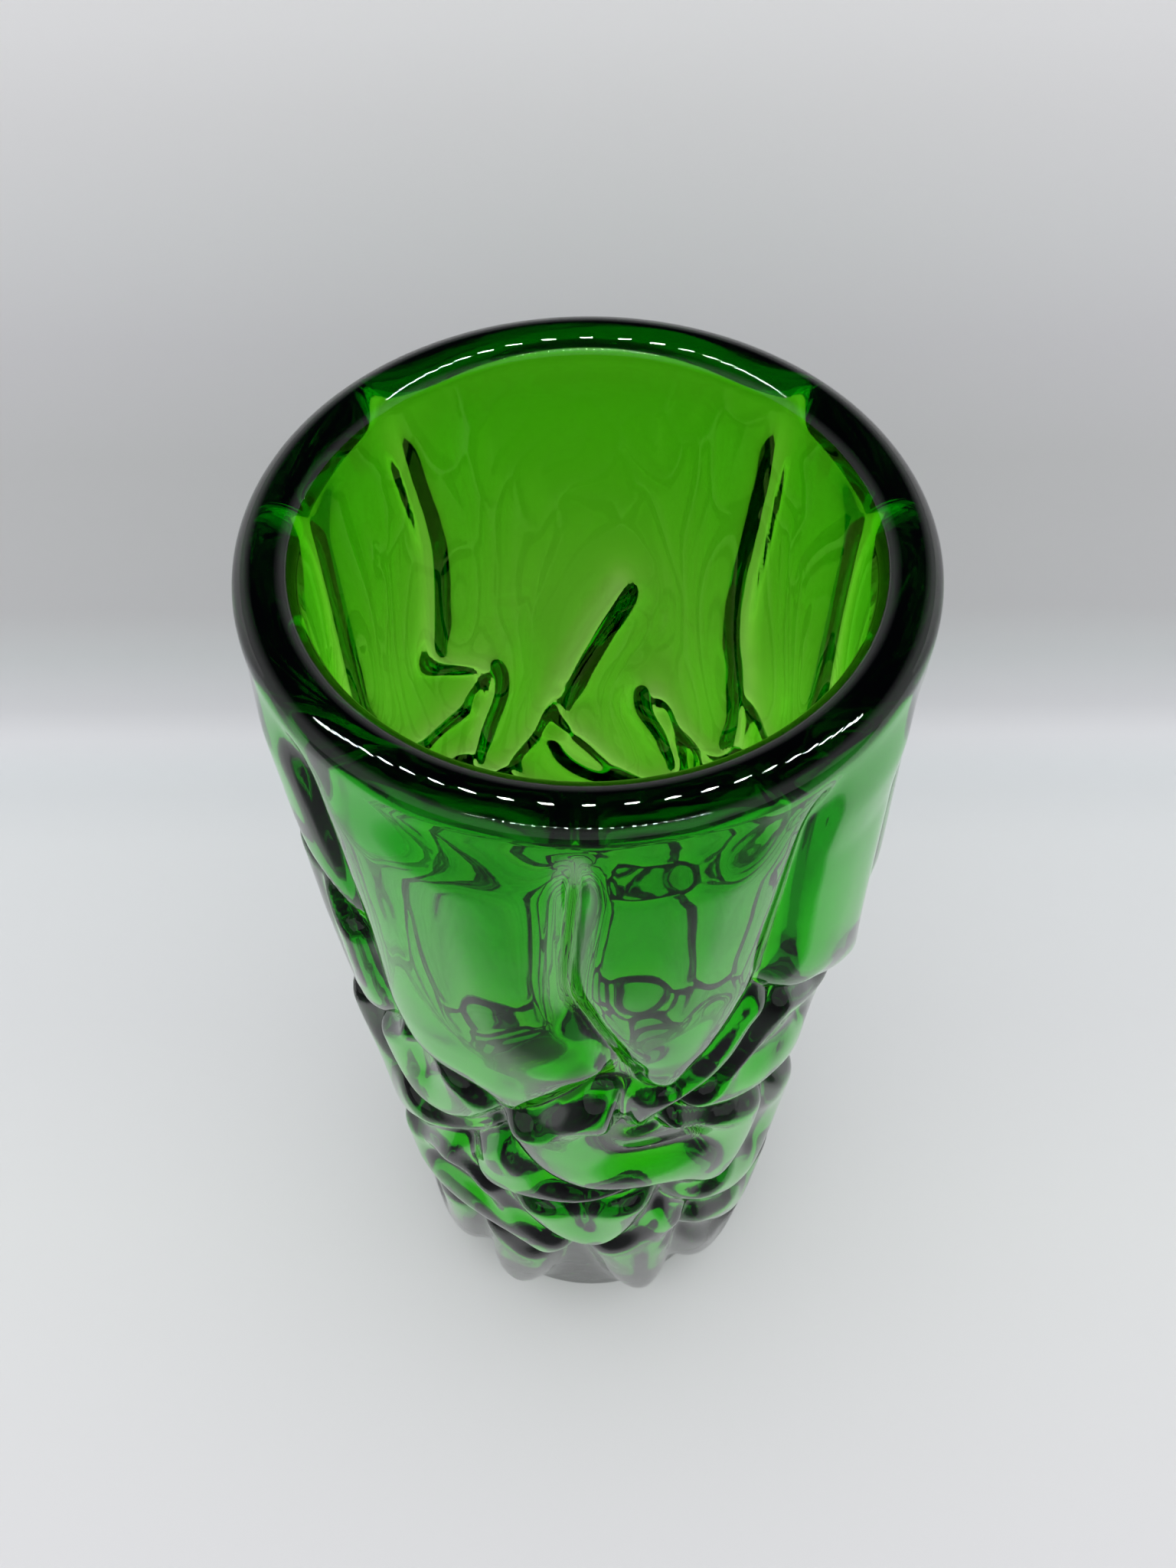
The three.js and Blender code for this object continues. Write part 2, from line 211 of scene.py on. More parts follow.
# %% [markdown]
# ## The low row
# In front this row has a long fold that runs down to the left, a wide one on the right, and a
# rounded pebble over their meeting. The pebble comes last, so that it lies on top.

# %% Low folds
forms += [
    (LOW_FOLD, [
        [-92, 164], [-94, 176], [-100, 184], [-107, 187], [-113, 178], [-120, 172], [-130, 174],
        [-139, 178], [-148, 184], [-156, 182], [-162, 168], [-160, 148], [-150, 134], [-136, 126],
        [-120, 124], [-108, 134], [-98, 150],
    ]),
    (LOW_FOLD, [
        [-64, 172], [-58, 186], [-50, 200], [-41, 212], [-31, 216], [-20, 208], [-12, 190], [-12, 168],
        [-24, 156], [-44, 158],
    ]),
    (LOW_FOLD, hanging_fold(8, 20, 118, 204, -4)),
    (LOW_FOLD, hanging_fold(45, 22, 122, 212, 4)),
    (LOW_FOLD, hanging_fold(84, 20, 116, 202, -3)),
    (LOW_FOLD, hanging_fold(121, 21, 122, 210, 3)),
    (LOW_FOLD, hanging_fold(160, 21, 118, 204, -4)),
    (LOW_FOLD, [
        [-113, 130], [-113, 143], [-109, 154], [-103, 163], [-95, 169], [-88, 171], [-81, 167],
        [-76, 158], [-73, 147], [-71, 134], [-78, 122], [-92, 118], [-105, 120],
    ]),
]
print(f"{len(forms)} forms with the low row")

# %% [markdown]
# ## The middle row
# The widest fold of the front lies here, a bowl that hangs across from side to side. It comes last in
# its row, so that it lies over its neighbours.

# %% Middle folds
forms += [
    (MIDDLE_FOLD, [
        [-70, 140], [-68, 150], [-60, 163], [-50, 174], [-39, 182], [-28, 182], [-18, 172], [-13, 154],
        [-16, 134], [-26, 116], [-40, 108], [-56, 116], [-66, 128],
    ]),
    (MIDDLE_FOLD, [
        [-122, 124], [-124, 132], [-119, 138], [-110, 138], [-100, 137], [-90, 136], [-80, 134],
        [-72, 132], [-74, 118], [-90, 106], [-104, 98], [-114, 104], [-120, 114],
    ]),
    (SIDE_FOLD, hanging_fold(6, 19, 76, 160, 3)),
    (MIDDLE_FOLD, hanging_fold(66, 20, 82, 168, -3)),
    (MIDDLE_FOLD, hanging_fold(34, 19, 80, 150, 4)),
    (MIDDLE_FOLD, hanging_fold(104, 20, 80, 158, 3)),
    (MIDDLE_FOLD, hanging_fold(140, 19, 80, 166, -2)),
    (SIDE_FOLD, hanging_fold(176, 19, 76, 156, 4)),
    (MIDDLE_FOLD, [
        [-112, 100], [-117, 110], [-123, 117], [-131, 126], [-140, 138], [-149, 148], [-158, 150],
        [-165, 140], [-168, 120], [-166, 98], [-158, 80], [-145, 80], [-125, 90],
    ]),
    (MIDDLE_FOLD, [
        [-112, 84], [-111, 96], [-107, 110], [-102, 118], [-95, 124], [-86, 127], [-76, 129],
        [-70, 134], [-63, 144], [-56, 150], [-49, 148], [-43, 138], [-40, 122], [-42, 104], [-50, 90],
        [-66, 80], [-85, 74], [-102, 76],
    ]),
]
print(f"{len(forms)} forms with the middle row")

# %% [markdown]
# ## The high row
# Two folds come out from under the panels, to the left and the right of the bowl. The last three lie
# behind, where their creases show as short dark strokes through the mouth of the vase.

# %% High folds
forms += [
    (HIGH_FOLD, [
        [-76, 84], [-70, 90], [-61, 97], [-53, 101], [-44, 106], [-34, 114], [-24, 120], [-15, 118],
        [-10, 106], [-12, 90], [-22, 74], [-38, 62], [-50, 58], [-60, 66], [-68, 76],
    ]),
    (HIGH_FOLD, [
        [-110, 86], [-113, 96], [-119, 105], [-126, 111], [-134, 115], [-141, 115], [-147, 108],
        [-150, 96], [-149, 80], [-142, 68], [-128, 66], [-116, 74],
    ]),
    (SIDE_FOLD, hanging_fold(10, 20, 60, 118, -3)),
    (SIDE_FOLD, hanging_fold(174, 19, 40, 100, -3)),
    (SIDE_FOLD, hanging_fold(207, 17, 26, 88, 3)),
    (HIGH_FOLD, [
        [64, 82], [58, 89], [50, 93], [40, 96], [30, 94], [24, 82], [34, 66], [56, 66],
    ]),
    (HIGH_FOLD, [
        [116, 88], [114, 102], [107, 112], [97, 119], [86, 122], [74, 118], [66, 108], [72, 90],
        [92, 78],
    ]),
    (HIGH_FOLD, [
        [108, 80], [114, 90], [122, 90], [132, 87], [142, 90], [152, 86], [156, 74], [150, 60],
        [130, 56], [112, 66],
    ]),
]
print(f"{len(forms)} forms with the high row")

# %% [markdown]
# ## The hem and the panels
# The panels are the last to be laid down, so they lie over everything. Each starts above the rim, at T,
# and ends in a tongue. Their edges are the long dark strokes inside, and the panel behind has a slit
# that makes the slanting stroke. The hem is a narrow ridge under the seam of the two front panels.

# %% Hem and panels
T = ABOVE_RIM
forms += [
    (HEM, [
        [-84, 60], [-82, 72], [-83, 82], [-82, 92], [-79.5, 98], [-76, 96], [-74, 90], [-68, 85],
        [-61, 80], [-56, 73], [-53, 64], [-49, 60], [-45, 57], [-47, 50], [-55, 44], [-66, 50],
    ]),
    (PANEL, [
        [165, T], [165, 35], [168, 50], [175, 60], [183, 62], [190, 56], [195, 44], [195, T],
    ]),
    (PANEL, [
        [195, T], [195, 20], [198, 32], [205, 40], [213, 42], [219, 48], [222, 40], [222, T],
    ]),
    (PANEL, [
        [129.6, T], [129.6, 40], [128, 52], [119, 59], [120, 66], [126, 71], [134, 74], [145, 73],
        [155, 66], [162, 54], [165, 40], [165, T],
    ]),
    (SIDE_PANEL, [
        [-21, T], [-21, 45], [-19, 66], [-12, 80], [-3, 86], [6, 82], [12, 70], [15, 50], [15, T],
    ]),
    (PANEL, [
        [15, T], [15, 44], [17, 58], [23, 68], [31, 71], [38, 68], [45, 60], [50, 50], [51, 35],
        [51, T],
    ]),
    (PANEL, [
        [51, T], [49, 45], [46, 60], [44, 76], [50, 88], [60, 85], [71, 77], [71, 82], [65, 90],
        [62, 100], [68, 107], [78, 106], [89, 96], [98, 85], [94, 74], [87, 61], [81, 50], [81.5, 46.5],
        [84, 49], [90, 58], [98, 73], [103, 84], [108, 92], [118, 98], [125, 94], [123, 84], [118, 74],
        [118, 66], [125, 62], [132, 56], [131, 45], [129.6, 30], [129.6, T],
    ]),
    (SIDE_PANEL, [
        [-55.5, T], [-55.5, 30], [-57, 46], [-53, 55], [-46, 60], [-38, 67], [-30, 74], [-23, 76],
        [-19, 68], [-21, 50], [-21, T],
    ]),
    (PANEL, [
        [-95, T], [-95, 30], [-91.5, 44], [-87, 56], [-82, 66], [-79, 75], [-72, 78], [-66, 70],
        [-61, 60], [-57, 50], [-55.5, 40], [-55.5, T],
    ]),
    (PANEL, [
        [-138, T], [-138, 40], [-137.5, 62], [-134, 75], [-126, 80], [-117, 82], [-110, 89], [-104, 88],
        [-97, 80], [-90, 71], [-86, 66], [-87, 60], [-91, 50], [-95, 38], [-95, T],
    ]),
]
print(f"{len(forms)} forms with the hem and the panels")

# %% [markdown]
# ## Smooth outlines
# Blown glass has no sharp corner, so the few points of an outline are joined by a smooth curve. This
# kind of cubic curve is handy for a drawing, because it runs through every point that was drawn.

# %% A smooth closed curve through the points
CURVE_STEPS = 6


def closed_curve(corners):
    corners = np.array(corners, float)
    t = (np.arange(CURVE_STEPS) / CURVE_STEPS)[None, :, None]
    before, here = np.roll(corners, 1, 0)[:, None], corners[:, None]
    after, beyond = np.roll(corners, -1, 0)[:, None], np.roll(corners, -2, 0)[:, None]
    curve = 0.5 * (
        2 * here + (after - before) * t + (2 * before - 5 * here + 4 * after - beyond) * t**2
        + (3 * here - before - 3 * after + beyond) * t**3
    )
    return curve.reshape(-1, 2)


print(f"the last panel's curve has {len(closed_curve(forms[-1][1]))} points")

# %% [markdown]
# ## Depth inside an outline
# The height of a form depends only on how deep a place lies inside its curve, which is the distance to
# the nearest side, counted as negative outside. Numpy works it out for a whole grid of places at once.

# %% Depth inside a curve
def smoothstep(low, high, x):
    t = np.clip((x - low) / (high - low), 0, 1)
    return t * t * (3 - 2 * t)


def depth_inside(curve, x, y):
    nearest = np.full(x.shape, np.inf)
    inside = np.zeros(x.shape, bool)
    for (ax, ay), (bx, by) in zip(curve, np.roll(curve, -1, 0)):
        ex, ey = bx - ax, by - ay
        share = np.clip(((x - ax) * ex + (y - ay) * ey) / (ex * ex + ey * ey), 0, 1)
        nearest = np.minimum(nearest, (x - ax - share * ex) ** 2 + (y - ay - share * ey) ** 2)
        if ay != by:
            inside ^= ((ay > y) != (by > y)) & (x < ax + (y - ay) * ex / ey)
    return np.where(inside, 1, -1) * np.sqrt(nearest)


square = np.array([[-1, -1], [1, -1], [1, 1], [-1, 1]], float)
print("depth in the middle of a square of 2:", depth_inside(square, np.zeros(1), np.zeros(1))[0])

# %% [markdown]
# ## The relief
# One form after another is laid over the height so far. Inside its curve the form takes over, in a
# quarter round and a dished middle. Just outside it the ground sinks into a crease, as glass does
# where one fold lies over the next. Those creases are the dark lines of the real vase.

# %% The height of the relief over the creases
FLARE_START = 20  # drop below which a form gains height
CREASE_SOFTNESS = 0.8
CREASE_WIDTH = 3


def relief(angle, drop):
    height = np.zeros(angle.shape)
    for (rise, flare, shoulder, dish, slope), edge in forms:
        middle = np.mean([a for a, d in edge])
        curve = closed_curve([[math.radians(a - middle) * unrolled_radius, d] for a, d in edge])
        x = np.radians((angle - middle + 180) % 360 - 180) * unrolled_radius
        low, high = curve.min(0) - CREASE_WIDTH, curve.max(0) + CREASE_WIDTH
        near = (x > low[0]) & (x < high[0]) & (drop > low[1]) & (drop < high[1])
        depth = depth_inside(curve, x[near], drop[near])
        climb = np.clip(depth / shoulder, 0, 1)
        swell = (rise + flare * np.maximum(drop[near] - FLARE_START, 0)) * np.sqrt(1 - (1 - climb) ** 2)
        swell -= dish * (1 - np.sqrt(1 - np.clip((depth - shoulder) / slope, 0, 1) ** 2))
        ground = height[near] * smoothstep(0, CREASE_WIDTH, -depth)
        height[near] = ground + smoothstep(0, CREASE_SOFTNESS, depth) * (swell - ground)
    return height


COLUMNS = 360  # of the mesh
GRID_COLUMNS = 2 * COLUMNS
GRID_STEP = 0.5
BELOW_FOOT = 10
grid_drops = np.arange(ABOVE_RIM, DRAWN_DROP + BELOW_FOOT, GRID_STEP)
grid_angles = np.arange(GRID_COLUMNS) * 360 / GRID_COLUMNS - 180
drop_grid, angle_grid = np.meshgrid(grid_drops, grid_angles, indexing="ij")
drawn = relief(angle_grid, drop_grid)
print(f"relief drawn on {drawn.shape[0]} x {drawn.shape[1]} places, up to {drawn.max():.1f} mm high")

# %% [markdown]
# ## Softening
# Blown glass never quite fills the corners of its mould, so the drawn relief is blurred by a bell
# curve. The grid is wrapped round the wall, and so the blur runs on across its two side edges.

# %% A blur round the wall and along it
BLUR_REACH = 3  # standard deviations


def blurred(grid, softness):
    """Blurs a grid by a bell curve whose standard deviation is given in millimetres."""
    column_step = 2 * math.pi * unrolled_radius / grid.shape[1]
    for axis, step in ((1, column_step), (0, GRID_STEP)):
        reach = math.ceil(BLUR_REACH * softness / step)
        offsets = np.arange(-reach, reach + 1)
        weights = np.exp(-0.5 * (offsets * step / softness) ** 2)
        weights /= weights.sum()
        if axis:
            grid = sum(w * np.roll(grid, k, 1) for w, k in zip(weights, offsets))
        else:
            padded = np.pad(grid, ((reach, reach), (0, 0)), "edge")
            grid = sum(w * padded[reach + k:reach + k + len(grid)] for w, k in zip(weights, offsets))
    return grid


print(f"a blur of 1 mm reaches {math.ceil(BLUR_REACH / GRID_STEP)} rows up and down")

# %% [markdown]
# ## The outer and the inner face
# The folds low down are rounder than the panels, so they are softened more. The inner face is softened
# most, because there the glass only follows the large forms. Both reliefs fade out towards the round
# rim. Where both faces bend together, light runs through nearly straight. Where only the outer one
# does, as in a crease, it is thrown aside, and the eye sees a dark line.

# %% Radius of the outer and the inner face
RIM_BLEND = 12
BORE_BLEND = 60
PANEL_SOFTNESS = 1.0
FOLD_SOFTNESS = 1.9
SOFTER_FROM, SOFTER_TO = 90, 130  # drops
INNER_SOFTNESS = 5
wall_thickness = np.interp(grid_drops, WALL_DROPS, WALLS)[:, None]
blend = smoothstep(0, RIM_BLEND, drop_grid)
softer = smoothstep(SOFTER_FROM, SOFTER_TO, drop_grid)
outer_relief = (1 - softer) * blurred(drawn, PANEL_SOFTNESS) + softer * blurred(drawn, FOLD_SOFTNESS)
carved = BORE_RADIUS + wall_thickness + outer_relief
outer_radius = rim_radius + blend * (carved - rim_radius)
inner_radius = BORE_RADIUS + smoothstep(0, BORE_BLEND, drop_grid) * blurred(drawn, INNER_SOFTNESS)
print(f"outer radius {outer_radius.min():.1f} to {outer_radius.max():.1f} mm, "
      f"inner {inner_radius.min():.1f} to {inner_radius.max():.1f} mm")

# %% [markdown]
# ## Reading the grids
# The points of the mesh don't lie on the grid's, so a height is read between four of them, in
# proportion to how near each is. Nearest points alone would show as steps in clear glass.

# %% A grid read between its points
LAST_ROW = 1.001  # a hair before the end, so that a row below always exists


def sampled(grid, angle, drop):
    column = (angle + 180) * GRID_COLUMNS / 360
    row = np.clip((drop - ABOVE_RIM) / GRID_STEP, 0, len(grid) - LAST_ROW)
    c, r = np.floor(column).astype(int), np.floor(row).astype(int)
    u, v = column - c, row - r
    here, beside = c % GRID_COLUMNS, (c + 1) % GRID_COLUMNS
    upper = grid[r, here] * (1 - u) + grid[r, beside] * u
    lower = grid[r + 1, here] * (1 - u) + grid[r + 1, beside] * u
    return upper * (1 - v) + lower * v


FRONT = np.array(-90.0)
print(f"radius at the front of the foot {sampled(outer_radius, FRONT, np.array(DRAWN_DROP)):.1f} mm")

# %% [markdown]
# ## The section
# Half of the vase's section is one line of points: out along the foot, round its edge, up the outside,
# over the rim, down the bore, round the corner and in along the floor. A ring of points in the foot
# and one in the floor keep the triangles there short.

# %% Half of the section, in millimetres
OUTER_ROWS = 190
BORE_ROWS = 48
FOOT_STEPS, RIM_STEPS, CORNER_STEPS = 4, 16, 8
FOOT_RING, FLOOR_RING = 0.5, 0.25  # shares of the radius
FOOT_SPREAD = 3  # holds the edge's points apart until they get their own radius
QUARTER = math.pi / 2


def half_section():
    section = [(0, 0), (FOOT_FLAT_RADIUS * FOOT_RING, 0), (FOOT_FLAT_RADIUS, 0)]
    section += [
        (FOOT_FLAT_RADIUS + FOOT_SPREAD * math.sin(a), FOOT_ROUNDING * (1 - math.cos(a)))
        for a in np.linspace(0, QUARTER, FOOT_STEPS + 1)[1:-1]
    ]
    section += [(rim_radius, z) for z in np.linspace(FOOT_ROUNDING, rim_plane, OUTER_ROWS + 1)]
    section += [
        (rim_radius - rim_tube * (1 - math.cos(a)), rim_plane + rim_tube * math.sin(a))
        for a in np.linspace(0, math.pi, RIM_STEPS + 1)[1:]
    ]
    corner_top = FLOOR_THICKNESS + BORE_CORNER
    section += [(BORE_RADIUS, z) for z in np.linspace(rim_plane, corner_top, BORE_ROWS)[1:]]
    section += [
        (BORE_RADIUS - BORE_CORNER * (1 - math.cos(a)), corner_top - BORE_CORNER * math.sin(a))
        for a in np.linspace(0, QUARTER, CORNER_STEPS + 1)[1:]
    ]
    return section + [(BORE_RADIUS * FLOOR_RING, FLOOR_THICKNESS), (0, FLOOR_THICKNESS)]


print(f"{len(half_section())} points in the section")

# %% [markdown]
# ## The body
# The quickest way to a turned shape is Spin, which turns the line right round the axis. The full turn
# is merged, so the mesh is closed. Spin can turn a shape inside out, so the normals are worked out
# again after the doubles are merged.

# %% The section, turned
MERGE = 1e-6


def turn(section):
    bm = bmesh.new()
    points = [bm.verts.new((r * MM, 0, z * MM)) for r, z in section]
    line = [bm.edges.new(pair) for pair in zip(points, points[1:])]
    bmesh.ops.spin(bm, geom=points + line, cent=(0, 0, 0), axis=(0, 0, 1), angle=2 * math.pi,
                   steps=COLUMNS, use_merge=True)
    bmesh.ops.remove_doubles(bm, verts=bm.verts, dist=MERGE)
    bmesh.ops.recalc_face_normals(bm, faces=bm.faces)
    return bm


def new_object(name, bm):
    mesh = bpy.data.meshes.new(name)
    bm.to_mesh(mesh)
    bm.free()
    made = bpy.data.objects.new(name, mesh)
    bpy.context.scene.collection.objects.link(made)
    return made


vase = new_object("vase_body_glass", turn(half_section()))
body_mesh = vase.data
triangles = sum(len(face.vertices) - 2 for face in body_mesh.polygons)
print(f"turned body: {len(body_mesh.vertices)} vertices, {triangles} triangles")

# %% [markdown]
# ## Which points are which
# The relief only moves the outside and the bore. The points of each are told apart by their radius and
# height on the turned body, which is still plain at this stage.

# %% Sort the points of the turned body
NEAR, HAIR = 0.1, 1e-4  # margins, in millimetres
place = np.empty(len(body_mesh.vertices) * 3)
body_mesh.vertices.foreach_get("co", place)
place = place.reshape(-1, 3) / MM
radius = np.hypot(place[:, 0], place[:, 1])
angle = np.degrees(np.arctan2(place[:, 1], place[:, 0]))
below_rim = place[:, 2] <= rim_plane + HAIR
outside = (radius > FOOT_FLAT_RADIUS + NEAR) & below_rim
bore = (radius < BORE_RADIUS + NEAR) & (place[:, 2] > FLOOR_THICKNESS - NEAR) & below_rim
drop = (rim_plane - place[:, 2]) * DRAWN_DROP / rim_plane
print(f"{outside.sum()} points outside, {bore.sum()} in the bore")

# %% [markdown]
# ## Sharing out the rows
# A ledge under a fold is steep, and rows at even heights would leave it hardly any points, which shows
# as a jagged edge. So each column's points are set at even distances along its own curve instead. The
# distances are blurred first, which spreads the extra rows of a ledge over its neighbours.

# %% Rows at even distances along each column's curve
SHARE_SOFTNESS = 1.5
lowest = DRAWN_DROP * (1 - FOOT_ROUNDING / rim_plane)
wall_drops = grid_drops[(grid_drops >= 0) & (grid_drops <= lowest)]
wall_radius = outer_radius[np.isin(grid_drops, wall_drops)]
steps = np.hypot(np.diff(wall_drops)[:, None], np.diff(wall_radius, axis=0))
shares = np.vstack([np.zeros(GRID_COLUMNS), np.cumsum(blurred(steps, SHARE_SOFTNESS), axis=0)])
shares /= shares[-1]
even = np.linspace(0, 1, OUTER_ROWS + 1)
row_drops = np.stack([np.interp(even, column, wall_drops) for column in shares.T], axis=1)

on_wall = outside & (place[:, 2] >= FOOT_ROUNDING - HAIR)
row = np.rint((rim_plane - place[on_wall, 2]) / (rim_plane - FOOT_ROUNDING) * OUTER_ROWS).astype(int)
column = np.rint((angle[on_wall] + 180) * GRID_COLUMNS / 360).astype(int) % GRID_COLUMNS
drop[on_wall] = row_drops[row, column]
place[on_wall, 2] = rim_plane * (1 - drop[on_wall] / DRAWN_DROP)
print(f"steps of {np.diff(row_drops, axis=0).min():.2f} to {np.diff(row_drops, axis=0).max():.2f} mm")

# %% [markdown]
# ## The relief on the body
# Every point now moves straight out from the axis, to its height in the drawing. At the foot the
# outside starts from the flat and swings out to the relief in a quarter round. A displace modifier
# could do the moving, but it needs an image or a texture, and these heights come from a drawing.

# %% Move both faces out to their reliefs
full = sampled(outer_radius, angle, drop)
rounding = np.clip(place[:, 2] / FOOT_ROUNDING, 0, 1)
follow = np.sqrt(np.clip(1 - (1 - rounding) ** 2, 0, 1))
new_radius = np.where(outside, FOOT_FLAT_RADIUS + follow * (full - FOOT_FLAT_RADIUS), radius)
new_radius = np.where(bore, radius * sampled(inner_radius, angle, drop) / BORE_RADIUS, new_radius)
scale = np.divide(new_radius, radius, out=np.ones_like(radius), where=radius > 0)
place[:, :2] *= scale[:, None]
body_mesh.vertices.foreach_set("co", (place * MM).ravel())
body_mesh.polygons.foreach_set("use_smooth", [True] * len(body_mesh.polygons))
body_mesh.update()
print(f"outside radius {new_radius[outside].min():.1f} to {new_radius[outside].max():.1f} mm")

# %% [markdown]
# ## The glass
# The real one is soda-lime glass coloured through with iron and chrome, and fire-polished, so its
# surface is perfectly smooth. Clear glass has no colour on its surface: the light is tinted on its
# way through, and more so where the glass is thick. So the surface stays white, and a volume absorbs
# red and blue. That gives the eye light green where one wall is looked through, and nearly black at
# the rim, and sharp reflections everywhere.

# %% Green glass, fire-polished
GLASS_IOR = 1.51
ABSORBED_PER_METRE = 550.0
glass = new_material("green_glass_fire_polished")
surface = add_node(glass.node_tree, "ShaderNodeBsdfPrincipled", {
    "Base Color": WHITE, "Transmission Weight": 1.0, "Roughness": 0.0, "IOR": GLASS_IOR,
})
absorption = add_node(glass.node_tree, "ShaderNodeVolumeAbsorption", {
    "Color": rgba("#c4f738"), "Density": ABSORBED_PER_METRE,
})
add_node(glass.node_tree, "ShaderNodeOutputMaterial", {
    "Surface": surface.outputs[0], "Volume": absorption.outputs[0],
})
vase.data.materials.append(glass)
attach(vase, "root")
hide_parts("vase_body")
print(f"glass of IOR {GLASS_IOR}, absorbing {ABSORBED_PER_METRE:.0f} per metre")

# %% [markdown]
# ## The light tent
# The vase stands in a small white light tent. Its cloth is one sweep: a floor that bends up into the
# back wall, so that no corner shows. It is a line of points, extruded sideways. The wall ends just
# above the picture, where the tent is open and dark, and the rim of the vase reflects that.

# %% The cloth sweep, in metres
WALL_AT = 0.170
BEND = 0.045
BEND_STEPS = 12
CLOTH_HALF_WIDTH = 1.2
CLOTH_FRONT = -1.5
CLOTH_TOP = 0.27
sweep_line = [(CLOTH_FRONT, 0)]
sweep_line += [
    (WALL_AT - BEND + BEND * math.sin(a), BEND - BEND * math.cos(a))
    for a in np.linspace(0, QUARTER, BEND_STEPS + 1)
]
sweep_line += [(WALL_AT, CLOTH_TOP)]

bm = bmesh.new()
points = [bm.verts.new((-CLOTH_HALF_WIDTH, y, z)) for y, z in sweep_line]
line = [bm.edges.new(pair) for pair in zip(points, points[1:])]
grown = bmesh.ops.extrude_edge_only(bm, edges=line)["geom"]
far_side = [g for g in grown if isinstance(g, bmesh.types.BMVert)]
bmesh.ops.translate(bm, vec=(2 * CLOTH_HALF_WIDTH, 0, 0), verts=far_side)
for face in bm.faces:
    face.smooth = True
cloth = new_object("tent_cloth", bm)
print(f"cloth of {len(cloth.data.polygons)} faces, with its wall {WALL_AT / MM:.0f} mm behind the axis")

# %% [markdown]
# ## The painted shade of the cloth
# The cloth is woven polyester. Its rough threads scatter light evenly, so it shows no shine. Its soft
# tones are painted shade and light: the light falls off in the bend and grows again up the wall, and
# this is painted rather than lit, so that the vase keeps its even light. Depth plus height rises
# steadily along the sweep, so one colour ramp can follow it. In front of the picture the floor is
# painted dark, a painted shade that also darkens what the front of the vase reflects.

# %% Tent cloth, woven, with painted shade
# depth plus height in metres, and the tone there, with painted shade in the bend and in front
PAINTED_CLOTH_TONES = [
    (-0.5, "#5c5e61"), (-0.15, "#7e8083"), (-0.125, "#b8babc"), (-0.108, "#ebebee"), (-0.02, "#eef0f1"),
    (0.04, "#edeff1"), (0.104, "#f2f5f7"), (0.135, "#ecf0f3"), (0.15, "#ecedf1"), (0.165, "#dadbdf"),
    (0.19, "#ced1d3"), (0.214, "#cbcbcd"), (0.25, "#ceced0"), (0.281, "#d0d0d2"), (0.321, "#dbdade"),
    (0.353, "#e7e7ea"), (0.381, "#f1f0f3"), (0.401, "#faf9fc"), (0.5, "#ffffff"),
]
first, last = PAINTED_CLOTH_TONES[0][0], PAINTED_CLOTH_TONES[-1][0]
# the ramp paints the shade of the bend and the dark front into the cloth's colour
paper = new_material("tent_cloth_painted_shade")
tree = paper.node_tree
where = add_node(tree, "ShaderNodeTexCoord")
axes = add_node(tree, "ShaderNodeSeparateXYZ", {"Vector": where.outputs["Object"]})
along = add_node(tree, "ShaderNodeMath", {0: axes.outputs["Y"], 1: axes.outputs["Z"]}, operation="ADD")
share = add_node(tree, "ShaderNodeMapRange", {
    "Value": along.outputs[0], "From Min": first, "From Max": last,
})
ramp = add_node(tree, "ShaderNodeValToRGB", {"Fac": share.outputs[0]})
stops = ramp.color_ramp.elements
stops[0].color = rgba(PAINTED_CLOTH_TONES[0][1])
stops[1].color = rgba(PAINTED_CLOTH_TONES[-1][1])
for at, tone in PAINTED_CLOTH_TONES[1:-1]:
    stops.new((at - first) / (last - first)).color = rgba(tone)
cloth_surface = add_node(tree, "ShaderNodeBsdfDiffuse", {"Color": ramp.outputs[0]})
add_node(tree, "ShaderNodeOutputMaterial", {"Surface": cloth_surface.outputs[0]})
cloth.data.materials.append(paper)
print(f"{len(stops)} tones along the cloth")

# %% [markdown]
# ## The light
# A tent lights a thing evenly from all sides, which a plain white world does without any lamp. Glass
# also shows what stands round it: pale cloth low down, and the dark opening of the tent overhead. So
# rays that glass reflects or lets through see those two tones, and all others see white.

# %% The world
CLOTH_TONE, OPENING_TONE = "#bcbec0", "#1e222a"
OPENING_FROM, OPENING_TO = 0.25, 0.55  # rise of a direction, 1 being straight up
MIX_SHARE, MIX_A, MIX_B, MIXED = 0, 6, 7, 2  # the colour sockets of a Mix node, which share their names
world = bpy.data.worlds.new("light_tent")
world.use_nodes = True
tree = world.node_tree
tree.nodes.clear()
rays = add_node(tree, "ShaderNodeLightPath")
direction = add_node(tree, "ShaderNodeTexCoord")
axes = add_node(tree, "ShaderNodeSeparateXYZ", {"Vector": direction.outputs["Generated"]})
opening = add_node(tree, "ShaderNodeMapRange", {
    "Value": axes.outputs["Z"], "From Min": OPENING_FROM, "From Max": OPENING_TO,
})
tent = add_node(tree, "ShaderNodeMix", {
    MIX_SHARE: opening.outputs[0], MIX_A: rgba(CLOTH_TONE), MIX_B: rgba(OPENING_TONE),
}, data_type="RGBA")
by_glass = add_node(tree, "ShaderNodeMath", {
    0: rays.outputs["Is Glossy Ray"], 1: rays.outputs["Is Transmission Ray"],
}, operation="MAXIMUM")
light = add_node(tree, "ShaderNodeMix", {
    MIX_SHARE: by_glass.outputs[0], MIX_A: WHITE, MIX_B: tent.outputs[MIXED],
}, data_type="RGBA")
sky = add_node(tree, "ShaderNodeBackground", {"Color": light.outputs[MIXED], "Strength": 1.0})
add_node(tree, "ShaderNodeOutputWorld", {"Surface": sky.outputs[0]})
bpy.context.scene.world = world
print(f"world of {len(tree.nodes)} nodes")

# %% [markdown]
# ## The LED bars
# Two bars of small LEDs hang across the tent, one over the rim and one nearer to the front. All that
# shows of them are the rows of bright dots on the rim. Each LED is a small flat rectangle, made as a
# grid of one face.

